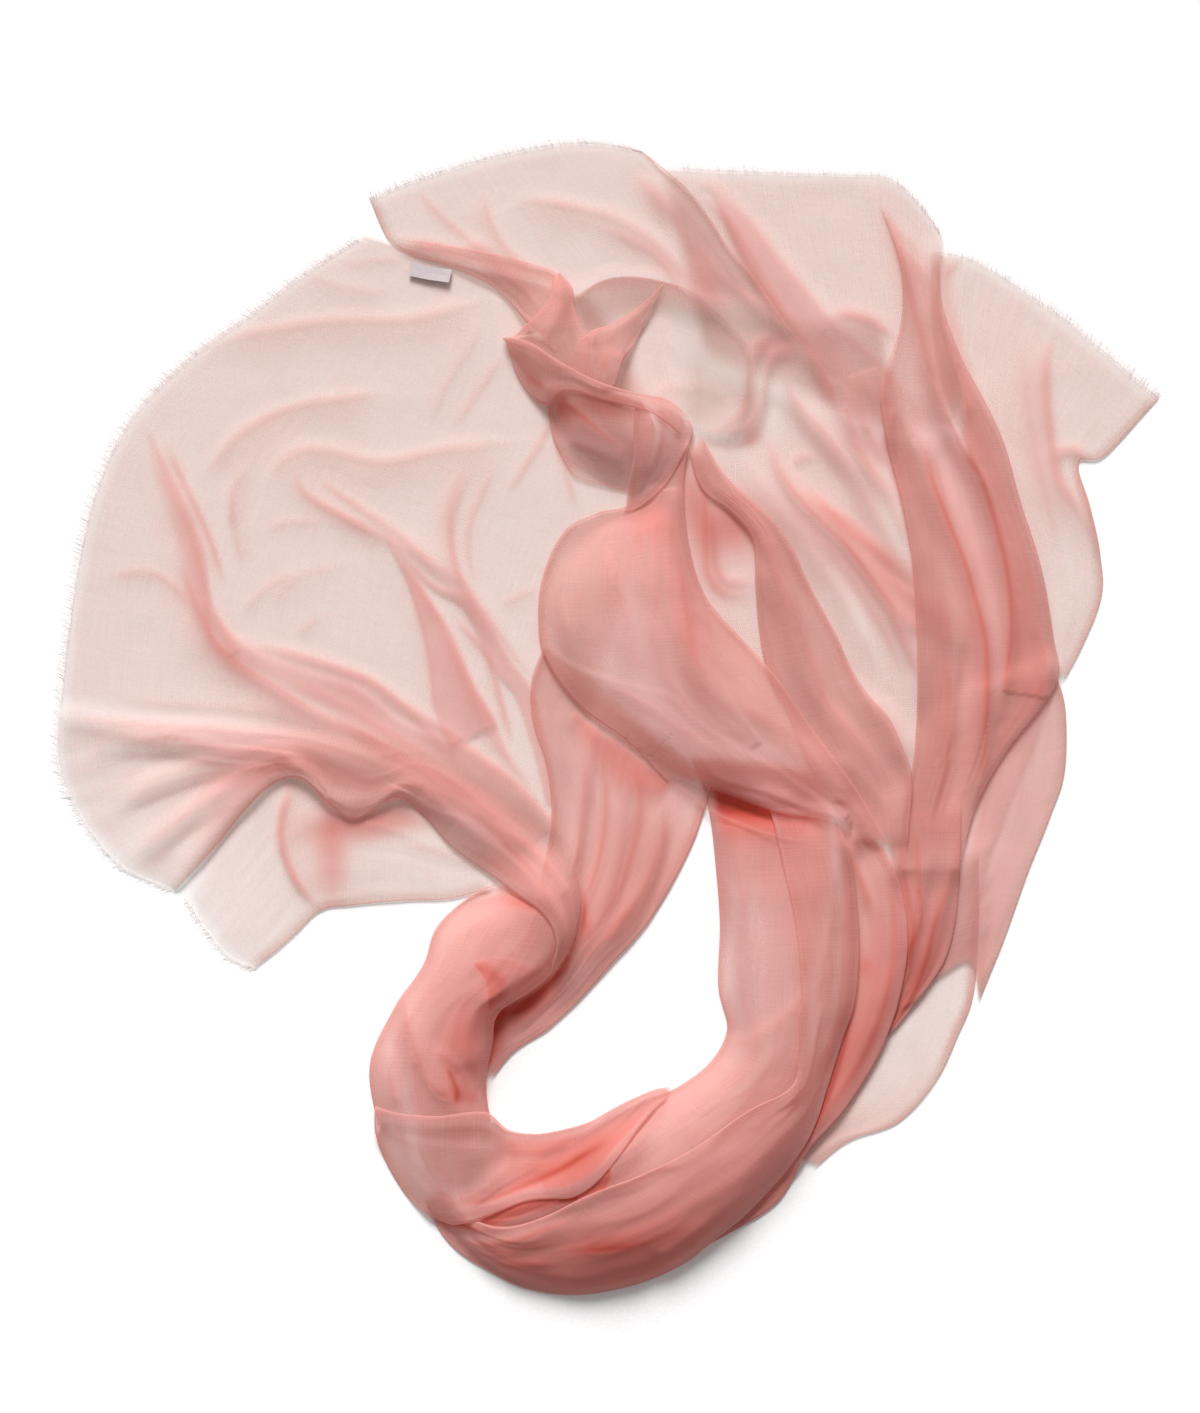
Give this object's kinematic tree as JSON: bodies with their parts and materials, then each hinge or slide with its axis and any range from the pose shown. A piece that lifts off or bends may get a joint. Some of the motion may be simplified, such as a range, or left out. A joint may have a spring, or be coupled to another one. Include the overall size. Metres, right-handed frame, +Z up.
{
  "type": "cashmere wrap",
  "caption": "Feather-weight sheer cashmere wrap in coral pink, dropped on a flat surface in loose gathered loops, with a knot-like bunch, spread ends and short frayed hems",
  "frame": {"origin": "on the surface the wrap lies on, under the centre of its bounding box", "axes": "+Z up from the surface, +Y towards the top of the plan where the two frayed flaps lie, +X to the right"},
  "size_m": [1.1094, 1.1594, 0.0541],
  "materials": {
    "sheer_cashmere": "sheer open plain weave of fine cashmere yarn, one or two plies",
    "gathered_cashmere": "the same sheer weave gathered many plies deep, soft matt coral",
    "hidden_layers": "packed hidden plies of the same cloth, deep coral",
    "frayed_yarn": "short frayed yarn ends, matt",
    "label_satin": "plain grey mauve woven tape, bare"
  },
  "bodies": {
    "root": {"left_spread": "sheer_cashmere", "left_gather": "sheer_cashmere", "lower_lobe": "sheer_cashmere", "top_flap": "sheer_cashmere", "top_back": "sheer_cashmere", "right_corner": "sheer_cashmere", "outer_fold": "sheer_cashmere", "pale_lobe": "sheer_cashmere", "middle_sheet": "sheer_cashmere", "fan_middle": "sheer_cashmere", "fan_outer": "gathered_cashmere", "fan_strand": "gathered_cashmere", "bubble": "gathered_cashmere", "back_strand": "gathered_cashmere", "left_rope": "gathered_cashmere", "cuff": "gathered_cashmere", "inner_strand": "gathered_cashmere", "outer_strand": "gathered_cashmere", "second_leaf": "gathered_cashmere", "third_leaf": "gathered_cashmere", "knot_cup": "gathered_cashmere", "knot_tail": "gathered_cashmere", "knot_band": "gathered_cashmere", "knot_crown": "gathered_cashmere", "loop_heart": "hidden_layers", "neck_heart": "hidden_layers", "knot_heart": "hidden_layers", "bubble_heart": "hidden_layers", "fringe_spread": "frayed_yarn", "fringe_gather": "frayed_yarn", "fringe_lobe": "frayed_yarn", "fringe_flap": "frayed_yarn", "fringe_back": "frayed_yarn", "fringe_corner": "frayed_yarn", "care_label": "label_satin"}
  },
  "joints": []
}
